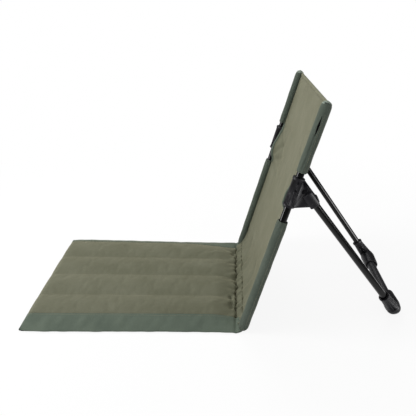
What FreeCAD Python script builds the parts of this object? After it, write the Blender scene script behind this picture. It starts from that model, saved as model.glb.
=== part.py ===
import FreeCAD, Part
import Sketcher
import math
import os
from FreeCAD import Vector

# Legless camping chair: a padded seat mat that lies on the ground, a sling back on two poles that
# folds down onto the mat, and a prop frame of two legs and a bar that swings in under the poles.
# Millimetres. +Z is up, the seat's front faces -Y and +X is the sitter's left.
# The origin is the middle of the seat's underside.

doc = FreeCAD.newDocument("ground_chair")

# Driving dimensions
SIZES = (
    # Seat mat
    ("seat_length", 532),
    ("seat_width", 450),
    ("cloth", 1),
    ("channel_width", 97),
    ("border_width", 48),
    ("channel_crown", 22),
    ("channel_valley", 17),
    ("border_edge", 4),
    ("border_swell", 0.6),
    ("edge_round", 2),
    ("edge_bulge", 0.4),
    ("least_bow", 0.2),
    ("end_crown", 6),
    ("end_valley", 4),
    ("front_slope", 22),
    ("rear_slope", 55),
    ("binding_width", 4),
    ("seam_radius", 3),
    ("crease_height", 10),
    # Back poles and their cloth
    ("pole_inset", 11),
    ("pole_radius", 8),
    ("pole_wall", 1.2),
    ("pole_length", 545),
    ("pole_setback", 12),
    ("lean", 16.5),
    ("cap_flange", 4),
    ("cap_stem", 14),
    ("sleeve_radius", 11),
    ("sleeve_gap", 0.1),
    ("sleeve_end", 1.5),
    ("sleeve_round", 4),
    ("ground_gap", 0.5),
    ("lower_sleeve_top", 289),
    ("upper_sleeve_foot", 403),
    ("slit_foot", 480),
    ("slit_length", 45),
    ("slit_width", 5),
    ("panel_thickness", 1.6),
    ("panel_behind", 5),
    ("sling_bend", 45),
    ("bend_sag", 10),
    ("sling_low", 120),
    ("low_sag", 12),
    ("sling_high", 350),
    ("high_sag", 8),
    ("crease_gap", 0.6),
    ("hem_height", 6),
    ("hem_thickness", 4),
    ("notch_depth", 22.5),
    ("notch_slope", 14),
    ("tape_width", 5),
    ("tape_thickness", 3),
    # Hubs that hold the legs to the poles
    ("hub_foot", 325),
    ("hub_length", 71),
    ("hub_radius", 12),
    ("hub_rim", 1),
    ("hub_rim_length", 5),
    ("web_rise", 2),
    ("web_start", 2),
    ("pivot_up", 367),
    ("pivot_behind", 20.7),
    ("leg_opening", 52.2),
    ("cheek", 2.5),
    ("cheek_gap", 0.5),
    ("stop_wall", 3),
    ("stop_gap", 0.3),
    ("under_leg", 1.5),
    ("collar_reach", 35),
    ("collar_length", 7),
    ("collar_lip", 1.5),
    ("ridge_reach", 22),
    ("hub_round", 1),
    ("screw_radius", 1.75),
    ("screw_head_radius", 3),
    ("screw_head_height", 1.8),
    ("screw_seat", 1),
    ("lower_screw_up", 365),
    ("screw_pitch", 17),
    ("rivet_radius", 3),
    ("rivet_head_radius", 5),
    ("rivet_head_height", 1.5),
    ("head_round", 0.7),
    # Prop frame
    ("leg_radius", 8),
    ("leg_wall", 1.2),
    ("leg_slant", 10.8),
    ("plug_neck", 14),
    ("plug_stem", 18),
    ("elbow_radius", 15),
    ("elbow_neck_radius", 12),
    ("elbow_corner_radius", 13),
    ("elbow_neck", 50),
    ("elbow_reach", 46),
    ("elbow_taper", 14),
    ("elbow_rim", 1.3),
    ("elbow_rim_length", 6),
    ("elbow_round", 1),
    ("leg_socket_floor", 16),
    ("bar_socket_floor", 12),
    ("bar_radius", 11),
    ("bar_wall", 1.5),
    # Fits
    ("push_gap", 0.05),
    ("run_gap", 0.06),
)

# Places that follow from the driving dimensions. "behind" and "up" are measured from a pole's foot,
# square to the pole and along it.
FOLLOWING = (
    ("crease_y", "dims.seat_length / 2 - dims.seam_radius"),
    ("pole_x", "dims.seat_width / 2 - dims.pole_inset"),
    ("foot_y", "crease_y + dims.pole_setback"),
    ("foot_z", "dims.ground_gap + (dims.cap_flange + dims.sleeve_end) * cos(dims.lean)"
               " + dims.sleeve_radius * sin(dims.lean)"),
    ("crease_behind", "-dims.pole_setback * cos(dims.lean)"
                      " - (dims.crease_height - foot_z) * sin(dims.lean)"),
    ("crease_up", "(dims.crease_height - foot_z) * cos(dims.lean) - dims.pole_setback * sin(dims.lean)"),
    ("back_top", "dims.pole_length + dims.cap_flange + dims.sleeve_end"),
    ("leg_angle", "dims.leg_opening - dims.lean"),
    ("pivot_y", "foot_y + dims.pivot_up * sin(dims.lean) + dims.pivot_behind * cos(dims.lean)"),
    ("pivot_z", "foot_z + dims.pivot_up * cos(dims.lean) - dims.pivot_behind * sin(dims.lean)"),
    ("leg_reach", "(pivot_z - dims.elbow_radius) / cos(leg_angle)"),
    ("leg_run", "leg_reach / cos(dims.leg_slant)"),
    ("elbow_x", "pole_x - leg_reach * tan(dims.leg_slant)"),
    ("outer_cheek_x", "pole_x + dims.leg_radius * cos(dims.leg_slant)"
                      " - dims.plug_neck * sin(dims.leg_slant) + dims.cheek_gap"),
    ("inner_cheek_x", "pole_x - dims.leg_radius * cos(dims.leg_slant)"
                      " - max(dims.collar_reach; dims.pivot_up - dims.hub_foot) * tan(dims.leg_slant)"
                      " - dims.cheek_gap"),
    ("hub_out", "outer_cheek_x + dims.cheek"),
    ("hub_in", "inner_cheek_x - dims.cheek"),
    ("stop_inside", "dims.leg_radius + dims.stop_gap"),
    ("stop_outside", "stop_inside + dims.stop_wall"),
    ("root_behind", "dims.pivot_behind - dims.leg_radius - dims.stop_gap"),
)


def fill_sheet(name, rows):
    """Write one named value per row of a sheet, with the name as the cell's alias."""
    sheet = doc.addObject("Spreadsheet::Sheet", name)
    for row, (alias, value) in enumerate(rows, start=1):
        sheet.set(f"A{row}", alias)
        sheet.setAlias(f"B{row}", alias)
        sheet.set(f"B{row}", f"={value}" if isinstance(value, str) else str(value))
    doc.recompute()
    return sheet


dims = fill_sheet("dims", SIZES)
places = fill_sheet("places", FOLLOWING)


def size(name):
    """A driving or following value as a plain number."""
    sheet = dims if name in dict(SIZES) else places
    return float(sheet.get(name))


# Frames: the back leans about the pole feet and the legs hang from the pivot line
BACK_FRAME = ("0", "places.foot_y", "places.foot_z", (1, 0, 0), "-dims.lean")
LEG_FRAME = ("0", "places.pivot_y", "places.pivot_z", (1, 0, 0), "places.leg_angle")
DOWN_THE_LEG = ((0, 1, 0), "180 + dims.leg_slant")
ALONG_X = ((0, 1, 0), "90")
ACROSS_PROFILE = ((1, 1, 1), "120")


def place(item, x="0", y="0", z="0", axis=(0, 0, 1), turn="0"):
    """Bind an object's place and turn to the sheets."""
    turned = f"rotation(vector({axis[0]}; {axis[1]}; {axis[2]}); {turn})"
    item.setExpression("Placement", f"placement(vector({x}; {y}; {z}); {turned})")
    return item


def bind(item, **sizes):
    """Bind an object's sizes to the sheets."""
    for prop, formula in sizes.items():
        item.setExpression(prop, formula)
    return item


def cylinder(name, radius, height, at=("0", "0", "0"), turned=((0, 0, 1), "0")):
    item = bind(doc.addObject("Part::Cylinder", name), Radius=radius, Height=height)
    return place(item, *at, *turned)


def cone(name, radius1, radius2, height, at, turned):
    item = bind(doc.addObject("Part::Cone", name), Radius1=radius1, Radius2=radius2, Height=height)
    return place(item, *at, *turned)


def ball(name, radius, at):
    return place(bind(doc.addObject("Part::Sphere", name), Radius=radius), *at)


def box(name, x, y, z):
    """A box between two places on each axis."""
    item = doc.addObject("Part::Box", name)
    bind(item, Length=f"{x[1]} - ({x[0]})", Width=f"{y[1]} - ({y[0]})", Height=f"{z[1]} - ({z[0]})")
    return place(item, x[0], y[0], z[0])


def profile(name, points):
    """A closed outline whose corners are bound to the sheets."""
    sketch = doc.addObject("Sketcher::SketchObject", name)
    count = len(points)
    rough = [Vector(index % 2, index, 0) for index in range(count)]
    for index in range(count):
        sketch.addGeometry(Part.LineSegment(rough[index], rough[(index + 1) % count]))
    for index in range(count):
        sketch.addConstraint(Sketcher.Constraint("Coincident", index, 2, (index + 1) % count, 1))
    for index, corner in enumerate(points):
        for kind, formula, start in (("DistanceX", corner[0], rough[index].x),
                                     ("DistanceY", corner[1], rough[index].y)):
            number = sketch.addConstraint(Sketcher.Constraint(kind, -1, 1, index, 1, start))
            sketch.setExpression(f"Constraints[{number}]", formula)
    return sketch


def side_plate(name, points, x):
    """A (behind, up) outline made solid between two places across the chair."""
    sketch = place(profile(name + "_outline", points), x[0], "0", "0", *ACROSS_PROFILE)
    plate = doc.addObject("Part::Extrusion", name)
    plate.Base = sketch
    plate.DirMode = "Custom"
    plate.Dir = Vector(1, 0, 0)
    plate.Solid = True
    return bind(plate, LengthFwd=f"{x[1]} - ({x[0]})")


def face_plate(name, points, thickness, behind="0"):
    """An (across, up) outline made solid, with the middle of its thickness so far behind the poles."""
    sketch = place(profile(name + "_outline", points), "0", f"{behind} + {thickness} / 2", "0",
                   (1, 0, 0), "90")
    plate = doc.addObject("Part::Extrusion", name)
    plate.Base = sketch
    plate.DirMode = "Custom"
    plate.Dir = Vector(0, -1, 0)
    plate.Solid = True
    return bind(plate, LengthFwd=thickness)


def fuse(name, *items):
    joined = doc.addObject("Part::MultiFuse", name)
    joined.Shapes = list(items)
    joined.Refine = True
    return joined


def cut(name, base, *tools):
    remainder = doc.addObject("Part::Cut", name)
    remainder.Base = base
    remainder.Tool = tools[0] if len(tools) == 1 else fuse(name + "_tools", *tools)
    remainder.Refine = True
    return remainder


def common(name, base, tool):
    shared = doc.addObject("Part::Common", name)
    shared.Base = base
    shared.Tool = tool
    return shared


def eased(name, item, radius, chosen=lambda edge: True):
    """Round the chosen edges of a plain solid."""
    doc.recompute()
    rounded = doc.addObject("Part::Fillet", name)
    rounded.Base = item
    amount = size(radius)
    rounded.Edges = [(index, amount, amount) for index, edge in enumerate(item.Shape.Edges, start=1)
                     if chosen(edge)]
    return rounded


def is_ring(edge):
    return edge.isClosed() and isinstance(edge.Curve, Part.Circle)


nodes = []


def node(name, item, frame=None):
    """Give a finished piece its own name and the frame that it moves with."""
    if frame:
        place(item, *frame)
    item.Label = name
    nodes.append(item)
    return item


def mirrored(item, name):
    other = doc.addObject("Part::Mirroring", name)
    other.Source = item
    other.Base = Vector(0, 0, 0)
    other.Normal = Vector(1, 0, 0)
    return other


def pair(name, item, frame):
    """A left piece and its mirror image on the right."""
    left = node(name + "_left", item, frame)
    node(name + "_right", mirrored(left, name + "_mirror"))


def grouped_pair(name, item, frame):
    """Both sides' alike small pieces as one group of solids."""
    place(item, *frame)
    group = doc.addObject("Part::Compound", name)
    group.Links = [item, mirrored(item, name + "_mirror")]
    node(name, group)


def solid_node(name, shape):
    """A soft form that is lofted here from its own sections."""
    item = doc.addObject("Part::Feature", name)
    item.Shape = shape
    return node(name, item)


def line(start, end):
    return Part.makeLine(start, end)


def bow(start, middle, end):
    return Part.Arc(start, middle, end).toShape()


# Seat mat: each section across it is drawn at one y, for one height of the padding
seat_rear_y = size("seat_length") / 2 - 2 * size("seam_radius")
seat_front_y = -size("seat_length") / 2 + size("binding_width")
padded_half = size("seat_width") / 2 - size("border_width")
SEAMS = (-padded_half, -size("channel_width"), 0, size("channel_width"), padded_half)
cloth = size("cloth")
END_HEIGHTS = (size("end_crown"), size("end_valley"), size("end_valley"), 0)
FULL_HEIGHTS = (size("channel_crown"), size("channel_valley"), size("border_edge"), size("border_swell"))
STATIONS = (
    (seat_front_y, END_HEIGHTS),
    (seat_front_y + size("front_slope"), FULL_HEIGHTS),
    (seat_rear_y - size("rear_slope"), FULL_HEIGHTS),
    (seat_rear_y, END_HEIGHTS),
)


def seat_loft(section):
    return Part.makeLoft([section(y, *heights) for y, heights in STATIONS], True, True)


def pad_section(y, crown, valley, seams, skin):
    """A row of crowned channels between sewn lines, drawn in by the cloth's thickness."""
    first, last = seams[0], seams[-1]
    edges = [line(Vector(first, y, cloth), Vector(first, y, valley - skin))]
    for left, right in zip(seams, seams[1:]):
        edges.append(bow(Vector(left, y, valley - skin), Vector((left + right) / 2, y, crown - skin),
                         Vector(right, y, valley - skin)))
    edges.append(line(Vector(last, y, valley - skin), Vector(last, y, cloth)))
    edges.append(line(Vector(last, y, cloth), Vector(first, y, cloth)))
    return Part.Wire(edges)


def border_section(y, crown, valley, edge, swell):
    """The flat border beside the channels, a little crowned and rounded at its outer edge."""
    outer = size("seat_width") / 2
    rounding = size("edge_round")
    inner_top = Vector(padded_half, y, valley)
    shoulder = Vector(outer - rounding, y, edge)
    side_top = Vector(outer, y, edge - rounding)
    swollen = (inner_top + shoulder) / 2 + Vector(0, 0, swell + size("least_bow"))
    bulge = size("edge_bulge")
    corner = (shoulder + side_top) / 2 + Vector(bulge, 0, bulge)
    inner_foot = Vector(padded_half, y, cloth)
    outer_foot = Vector(outer, y, cloth)
    return Part.Wire([line(inner_foot, inner_top), bow(inner_top, swollen, shoulder),
                      bow(shoulder, corner, side_top), line(side_top, outer_foot),
                      line(outer_foot, inner_foot)])


def make_seat():
    half_width = "dims.seat_width / 2"
    half_length = "dims.seat_length / 2"
    node("seat_base_sheet", box("base_sheet", (f"-{half_width}", half_width),
                                (f"-{half_length}", half_length), ("0", "dims.cloth")))
    foams = []
    for number, (left, right) in enumerate(zip(SEAMS, SEAMS[1:]), start=1):
        sides = (left + cloth / 2, right - cloth / 2)
        foam = seat_loft(lambda y, crown, valley, edge, swell: pad_section(y, crown, valley, sides, cloth))
        foams.append(foam)
        solid_node(f"seat_foam_{number}", foam)
    quilt = seat_loft(lambda y, crown, valley, edge, swell: pad_section(y, crown, valley, SEAMS, 0))
    solid_node("seat_top_cover", quilt.cut(foams))
    border = solid_node("seat_border_left", seat_loft(border_section))
    node("seat_border_right", mirrored(border, "border_mirror"))
    node("seat_front_binding", box("front_binding", (f"-{half_width}", half_width),
                                   (f"-{half_length}", f"-{half_length} + dims.binding_width"),
                                   ("dims.cloth", "dims.end_crown")))


def make_crease_seam():
    """The sewn ridge that joins seat and back: its round top is the fold's axis."""
    half_width = "(places.pole_x - dims.sleeve_radius - dims.crease_gap)"
    axis = (f"-{half_width}", "places.crease_y", "dims.crease_height")
    top = cylinder("seam_top", "dims.seam_radius", f"2 * {half_width}", axis, ALONG_X)
    foot = box("seam_foot", (f"-{half_width}", half_width),
               ("places.crease_y - dims.seam_radius", "places.crease_y + dims.seam_radius"),
               ("dims.cloth", "dims.crease_height"))
    node("crease_seam", fuse("seam", top, foot))


# Back cloth
def pole_cylinder(name, radius, foot, top):
    return cylinder(name, radius, f"{top} - ({foot})", ("places.pole_x", "0", foot))


def notch_outline(spare):
    """The gap in the sling's edge at a hub; spare widens it by the tape that binds it."""
    inner = f"places.pole_x - dims.notch_depth - {spare}"
    outer = "places.pole_x"
    foot = f"dims.lower_sleeve_top - {spare}"
    top = f"dims.upper_sleeve_foot + {spare}"
    return ((outer, foot), ("places.pole_x - dims.sleeve_radius", foot),
            (inner, f"{foot} + dims.notch_slope"), (inner, f"{top} - dims.notch_slope"),
            ("places.pole_x - dims.sleeve_radius", top), (outer, top))


def sling_section(up, behind, sag, edge):
    """The sling at one height: its edges so far behind the poles and its middle hanging back more."""
    half = size("panel_thickness") / 2
    front = behind - half
    back = behind + half
    return Part.Wire([bow(Vector(-edge, front, up), Vector(0, front + sag, up), Vector(edge, front, up)),
                      line(Vector(edge, front, up), Vector(edge, back, up)),
                      bow(Vector(edge, back, up), Vector(0, back + sag, up), Vector(-edge, back, up)),
                      line(Vector(-edge, back, up), Vector(-edge, front, up))])


def sling_stations():
    """Heights, depths, sags and half widths of the sling, from the crease to the top hem."""
    crease = Vector(0, size("crease_behind"), size("crease_up"))
    behind = size("panel_behind")
    first = Vector(0, behind, size("sling_bend"))
    away = (first - crease).normalize()
    end = crease + away * (size("seam_radius") + size("crease_gap") + size("panel_thickness") / 4)
    # Below its bend the sling passes beside the sleeves, and above it its front meets their backs.
    beside = size("pole_x") - size("sleeve_radius") - size("sleeve_gap")
    front = behind - size("panel_thickness") / 2
    meeting = size("pole_x") - math.sqrt(size("sleeve_radius") ** 2 - front ** 2) - size("sleeve_gap")
    return ((end.z, end.y, size("least_bow"), beside), (first.z, behind, size("bend_sag"), beside),
            (size("sling_low"), behind, size("low_sag"), meeting),
            (size("sling_high"), behind, size("high_sag"), meeting),
            (size("back_top") - size("hem_height"), behind, size("least_bow"), meeting))


def make_sling():
    sheet = doc.addObject("Part::Feature", "sling_sheet")
    sheet.Shape = Part.makeLoft([sling_section(*station) for station in sling_stations()], True, True)
    notch_room = face_plate("notch_room", notch_outline("dims.tape_width"), "4 * dims.hub_radius")
    node("back_panel", cut("sling", sheet, notch_room, mirrored(notch_room, "notch_room_mirror")), BACK_FRAME)

    low = "-2 * dims.pole_setback"
    hem = box("hem_bar", ("-places.pole_x", "places.pole_x"),
              ("dims.panel_behind - dims.hem_thickness / 2", "dims.panel_behind + dims.hem_thickness / 2"),
              ("places.back_top - dims.hem_height", "places.back_top"))
    hem_ends = pole_cylinder("hem_end", "dims.sleeve_radius", low, "places.back_top")
    node("top_hem", cut("hem", hem, hem_ends, mirrored(hem_ends, "hem_end_mirror")), BACK_FRAME)

    tape = face_plate("tape_plate", notch_outline("dims.tape_width"), "dims.tape_thickness",
                      "dims.panel_behind + dims.panel_thickness")
    opening = face_plate("tape_opening", notch_outline("0"), "4 * dims.hub_radius")
    tape_edge = pole_cylinder("tape_edge", "dims.sleeve_radius", low, "places.back_top")
    pair("notch_tape", cut("tape", tape, opening, tape_edge), BACK_FRAME)


def make_sleeves():
    inside = "dims.pole_radius + dims.sleeve_gap"
    pocket_foot = "-dims.cap_flange"
    lower_rod = pole_cylinder("lower_rod", "dims.sleeve_radius", f"{pocket_foot} - dims.sleeve_end",
                              "dims.lower_sleeve_top")
    lower = eased("lower_cloth", lower_rod, "sleeve_round",
                  lambda edge: is_ring(edge) and edge.Curve.Center.z < size("lower_sleeve_top"))
    lower_room = pole_cylinder("lower_room", inside, pocket_foot, "dims.lower_sleeve_top")
    pair("lower_sleeve", cut("lower_tube", lower, lower_room), BACK_FRAME)

    pocket_top = "dims.pole_length + dims.cap_flange"
    upper_rod = pole_cylinder("upper_rod", "dims.sleeve_radius", "dims.upper_sleeve_foot", "places.back_top")
    upper = eased("upper_cloth", upper_rod, "sleeve_round",
                  lambda edge: is_ring(edge) and edge.Curve.Center.z > size("upper_sleeve_foot"))
    upper_room = pole_cylinder("upper_room", inside, "dims.upper_sleeve_foot", pocket_top)
    slit = box("slit", ("places.pole_x", "places.pole_x + 2 * dims.sleeve_radius"),
               ("-dims.slit_width / 2", "dims.slit_width / 2"),
               ("dims.slit_foot", "dims.slit_foot + dims.slit_length"))
    pair("upper_sleeve", cut("upper_tube", upper, upper_room, slit), BACK_FRAME)


# Back poles
def screw_holes(name):
    """Both screw holes of a hub, from the middle of the pole outwards."""
    return [cylinder(f"{name}_{order}", "dims.screw_radius + dims.push_gap", "2 * dims.hub_radius",
                     ("places.pole_x", "0", f"dims.lower_screw_up + {order} * dims.screw_pitch"), ALONG_X)
            for order in range(2)]


def make_poles():
    bore = "dims.pole_radius - dims.pole_wall"
    wall = pole_cylinder("pole_outside", "dims.pole_radius", "0", "dims.pole_length")
    inside = pole_cylinder("pole_inside", bore, "0", "dims.pole_length")
    pair("back_pole", cut("pole", wall, inside, *screw_holes("pole_hole")), BACK_FRAME)
    stem = f"{bore} - dims.push_gap"
    foot_cap = fuse("foot_cap", pole_cylinder("foot_flange", "dims.pole_radius", "-dims.cap_flange", "0"),
                    pole_cylinder("foot_stem", stem, "0", "dims.cap_stem"))
    grouped_pair("pole_foot_caps", foot_cap, BACK_FRAME)
    top = "dims.pole_length"
    top_cap = fuse("top_cap",
                   pole_cylinder("top_flange", "dims.pole_radius", top, f"{top} + dims.cap_flange"),
                   pole_cylinder("top_stem", stem, f"{top} - dims.cap_stem", top))
    grouped_pair("pole_top_caps", top_cap, BACK_FRAME)


# Hubs
def by_the_leg(down, behind):
    """A (behind, up) place, so far down the open leg from its pivot and so far behind its axis."""
    opening = "dims.leg_opening"
    return (f"dims.pivot_behind + ({down}) * sin({opening}) + ({behind}) * cos({opening})",
            f"dims.pivot_up - ({down}) * cos({opening}) + ({behind}) * sin({opening})")


def make_hubs():
    top = "dims.hub_foot + dims.hub_length"
    tube = pole_cylinder("hub_tube", "dims.hub_radius", "dims.hub_foot", top)
    rim = "dims.hub_radius + dims.hub_rim"
    foot_ring = pole_cylinder("hub_foot_ring", rim, "dims.hub_foot", "dims.hub_foot + dims.hub_rim_length")
    foot_rim = eased("hub_foot_rim", foot_ring, "hub_round", is_ring)
    top_ring = pole_cylinder("hub_top_ring", rim, f"{top} - dims.hub_rim_length", top)
    top_rim = eased("hub_top_rim", top_ring, "hub_round", is_ring)
    under = "-dims.leg_radius - dims.under_leg"
    web_foot = "dims.hub_foot + dims.web_rise"
    outline = (("dims.web_start", web_foot), ("dims.hub_radius", web_foot),
               by_the_leg("dims.collar_reach", under),
               by_the_leg("dims.collar_reach", "places.stop_outside"),
               by_the_leg("-dims.ridge_reach", "places.stop_outside"),
               ("dims.web_start", f"{top} - dims.web_rise"))
    block = side_plate("hub_block", outline, ("places.hub_in", "places.hub_out"))
    bracket = eased("hub_bracket", block, "hub_round")
    collar_start = "dims.collar_reach - dims.collar_length"
    lip = "places.stop_outside + dims.collar_lip"
    collar_outline = (by_the_leg(collar_start, under), by_the_leg("dims.collar_reach", under),
                      by_the_leg("dims.collar_reach", lip), by_the_leg(collar_start, lip))
    collar_block = side_plate("hub_collar_block", collar_outline,
                              ("places.hub_in - dims.collar_lip", "places.hub_out + dims.collar_lip"))
    collar = eased("hub_collar", collar_block, "hub_round")
    corner_up = ("dims.pivot_up + places.stop_inside * sin(dims.leg_opening)"
                 " + (dims.pivot_behind + places.stop_inside * cos(dims.leg_opening) - places.root_behind)"
                 " / tan(dims.leg_opening)")
    below = "dims.hub_foot - dims.hub_length"
    far = by_the_leg("2 * dims.collar_reach", "places.stop_inside")
    leg_room = side_plate("leg_room", (("places.root_behind", corner_up), far, (far[0], below),
                                       ("places.root_behind", below)),
                          ("places.inner_cheek_x", "places.outer_cheek_x"))
    bore = pole_cylinder("hub_bore", "dims.pole_radius + dims.push_gap", "dims.hub_foot", top)
    pivot_hole = cylinder("hub_pivot_hole", "dims.rivet_radius + dims.push_gap",
                          "2 * (places.hub_out - places.hub_in)",
                          ("2 * places.hub_in - places.hub_out", "dims.pivot_behind", "dims.pivot_up"),
                          ALONG_X)
    seats = [cylinder(f"screw_seat_{order}", "dims.screw_head_radius + dims.push_gap", "dims.hub_radius",
                      ("places.pole_x + dims.hub_radius - dims.screw_seat", "0",
                       f"dims.lower_screw_up + {order} * dims.screw_pitch"), ALONG_X) for order in range(2)]
    body = fuse("hub_body", tube, foot_rim, top_rim, bracket, collar)
    pair("hub", cut("hub", body, leg_room, bore, pivot_hole, *seats, *screw_holes("hub_hole")), BACK_FRAME)


def make_hub_fasteners():
    seat = "places.pole_x + dims.hub_radius - dims.screw_seat"
    inner_end = "places.pole_x + dims.pole_radius / 2"
    screws = []
    for order in range(2):
        up = f"dims.lower_screw_up + {order} * dims.screw_pitch"
        disc = cylinder(f"screw_disc_{order}", "dims.screw_head_radius", "dims.screw_head_height",
                        (seat, "0", up), ALONG_X)
        head = eased(f"screw_head_{order}", disc, "head_round", is_ring)
        shank = cylinder(f"screw_shank_{order}", "dims.screw_radius", f"{seat} - ({inner_end})",
                         (inner_end, "0", up), ALONG_X)
        screws.append(fuse(f"screw_{order}", head, shank))
    group = doc.addObject("Part::Compound", "screws_left")
    group.Links = screws
    grouped_pair("hub_screws", group, BACK_FRAME)

    def rivet_disc(name, radius, start, length):
        return cylinder(name, radius, length, (start, "dims.pivot_behind", "dims.pivot_up"), ALONG_X)

    head = "dims.rivet_head_height"
    inner_disc = rivet_disc("rivet_inner_disc", "dims.rivet_head_radius", f"places.hub_in - {head}", head)
    outer_disc = rivet_disc("rivet_outer_disc", "dims.rivet_head_radius", "places.hub_out", head)
    rivet = fuse("rivet",
                 rivet_disc("rivet_shank", "dims.rivet_radius", "places.hub_in",
                            "places.hub_out - places.hub_in"),
                 eased("rivet_inner_head", inner_disc, "head_round", is_ring),
                 eased("rivet_outer_head", outer_disc, "head_round", is_ring))
    pair("pivot_rivet", rivet, BACK_FRAME)


# Prop frame
def leg_cylinder(name, radius, start, end):
    """A cylinder on a leg's slanted axis, between two distances from its pivot."""
    x = f"places.pole_x - ({start}) * sin(dims.leg_slant)"
    z = f"-({start}) * cos(dims.leg_slant)"
    return cylinder(name, radius, f"{end} - ({start})", (x, "0", z), DOWN_THE_LEG)


def make_legs():
    bore = "dims.leg_radius - dims.leg_wall"
    end = "places.leg_run - dims.leg_socket_floor"
    tube = cut("leg", leg_cylinder("leg_outside", "dims.leg_radius", "dims.plug_neck", end),
               leg_cylinder("leg_inside", bore, "dims.plug_neck", end))
    pair("leg_tube", tube, LEG_FRAME)

    neck = leg_cylinder("plug_neck", "dims.leg_radius", "0", "dims.plug_neck")
    stem = leg_cylinder("plug_stem", f"{bore} - dims.push_gap", "dims.plug_neck",
                        "dims.plug_neck + dims.plug_stem")
    inner = "places.inner_cheek_x + dims.stop_gap"
    outer = "places.outer_cheek_x - dims.stop_gap"
    knuckle = cylinder("plug_knuckle", "dims.leg_radius", f"{outer} - ({inner})", (inner, "0", "0"), ALONG_X)
    reach = "2 * dims.plug_stem + dims.plug_neck"
    slab = box("plug_slab", (inner, outer), (f"-({reach})", reach), (f"-({reach})", reach))
    whole = common("plug_whole", fuse("plug_body", neck, stem, knuckle), slab)
    hole = cylinder("plug_hole", "dims.rivet_radius + dims.run_gap", f"2 * ({outer} - ({inner}))",
                    (f"2 * ({inner}) - ({outer})", "0", "0"), ALONG_X)
    pair("leg_plug", cut("plug", whole, hole), LEG_FRAME)


def make_elbows():
    corner = ("places.elbow_x", "0", "-places.leg_reach")
    neck_start = "places.leg_run - dims.elbow_neck"
    neck = leg_cylinder("elbow_neck", "dims.elbow_neck_radius", neck_start, "places.leg_run")
    ring = leg_cylinder("elbow_ring", "dims.elbow_neck_radius + dims.elbow_rim", neck_start,
                        f"{neck_start} + dims.elbow_rim_length")
    rim = eased("elbow_rim", ring, "elbow_round", is_ring)
    mouth = ("places.elbow_x - dims.elbow_reach", "0", "-places.leg_reach")
    arm_rod = cylinder("elbow_arm_rod", "dims.elbow_radius", "dims.elbow_reach - dims.elbow_taper",
                       mouth, ALONG_X)
    arm = eased("elbow_arm", arm_rod, "elbow_round", is_ring)
    taper_start = ("places.elbow_x - dims.elbow_taper", "0", "-places.leg_reach")
    taper = cone("elbow_taper", "dims.elbow_radius", "dims.elbow_corner_radius", "dims.elbow_taper",
                 taper_start, ALONG_X)
    body = fuse("elbow_body", neck, rim, arm, taper, ball("elbow_corner", "dims.elbow_corner_radius", corner))
    leg_socket = leg_cylinder("leg_socket", "dims.leg_radius + dims.push_gap",
                              f"{neck_start} - dims.elbow_neck", "places.leg_run - dims.leg_socket_floor")
    bar_socket = cylinder("bar_socket", "dims.bar_radius + dims.push_gap",
                          "2 * dims.elbow_reach - dims.bar_socket_floor",
                          ("places.elbow_x - 2 * dims.elbow_reach", "0", "-places.leg_reach"), ALONG_X)
    pair("elbow", cut("elbow", body, leg_socket, bar_socket), LEG_FRAME)


def make_cross_bar():
    half = "(places.elbow_x - dims.bar_socket_floor)"
    start = (f"-{half}", "0", "-places.leg_reach")
    outside = cylinder("bar_outside", "dims.bar_radius", f"2 * {half}", start, ALONG_X)
    inside = cylinder("bar_inside", "dims.bar_radius - dims.bar_wall", f"2 * {half}", start, ALONG_X)
    node("cross_bar", cut("bar", outside, inside), LEG_FRAME)


make_seat()
make_crease_seam()
make_sling()
make_sleeves()
make_poles()
make_hubs()
make_hub_fasteners()
make_legs()
make_elbows()
make_cross_bar()
doc.recompute()

for item in doc.Objects:
    if "Invalid" in item.State or "Error" in item.State:
        raise RuntimeError(f"{item.Name} did not build")
for item in nodes:
    if item.Shape.isNull() or not item.Shape.isValid() or not item.Shape.Solids:
        raise RuntimeError(f"{item.Label} has no sound solid")

os.makedirs("parts", exist_ok=True)
for item in nodes:
    item.Shape.exportStep(f"parts/{item.Label}.step")
    print(f"{item.Label}: {len(item.Shape.Solids)} solid(s), {item.Shape.Volume / 1000:.1f} cm3")
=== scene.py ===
# %% [markdown]
# # A legless camping chair
# A padded mat lies on the ground, a cloth sling leans on two poles behind it, and a prop frame holds the
# poles up. The tubes, screws and rivets come from the CAD model as they are, and the hubs and elbows are
# fuller copies of its solids. The soft parts, which CAD can only give as stiff solids, are sewn here again
# from flat cloth.

# %% Load the frame
import math
import bpy
import numpy as np
from mathutils import Matrix, Vector


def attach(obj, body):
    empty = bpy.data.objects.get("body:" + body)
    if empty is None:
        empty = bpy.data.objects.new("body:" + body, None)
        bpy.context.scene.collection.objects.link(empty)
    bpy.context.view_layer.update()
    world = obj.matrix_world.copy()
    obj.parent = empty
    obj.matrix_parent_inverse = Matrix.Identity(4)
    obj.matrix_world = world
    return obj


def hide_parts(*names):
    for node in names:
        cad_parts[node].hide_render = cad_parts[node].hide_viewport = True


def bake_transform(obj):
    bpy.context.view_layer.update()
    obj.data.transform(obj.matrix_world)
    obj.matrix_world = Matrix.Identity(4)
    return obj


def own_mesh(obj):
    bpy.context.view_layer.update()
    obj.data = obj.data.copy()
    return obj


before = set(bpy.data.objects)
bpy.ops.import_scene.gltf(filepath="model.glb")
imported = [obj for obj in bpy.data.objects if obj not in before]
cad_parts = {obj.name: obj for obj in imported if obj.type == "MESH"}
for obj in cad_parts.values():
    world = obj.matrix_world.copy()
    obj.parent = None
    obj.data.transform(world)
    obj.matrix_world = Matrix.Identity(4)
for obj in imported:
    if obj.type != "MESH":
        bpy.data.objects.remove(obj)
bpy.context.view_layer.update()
scene = bpy.context.scene
bpy.ops.object.select_all(action="DESELECT")

# %% [markdown]
# ## The camera
# The photograph was taken from the sitter's left, a little above the chair's top. The lens and the place
# come from fitting the corners of the seat, the poles, the hubs and the feet to the picture, so this view
# can be laid over the photograph. The frame is square, and the lens is given for a 36 mm sensor.

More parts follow.
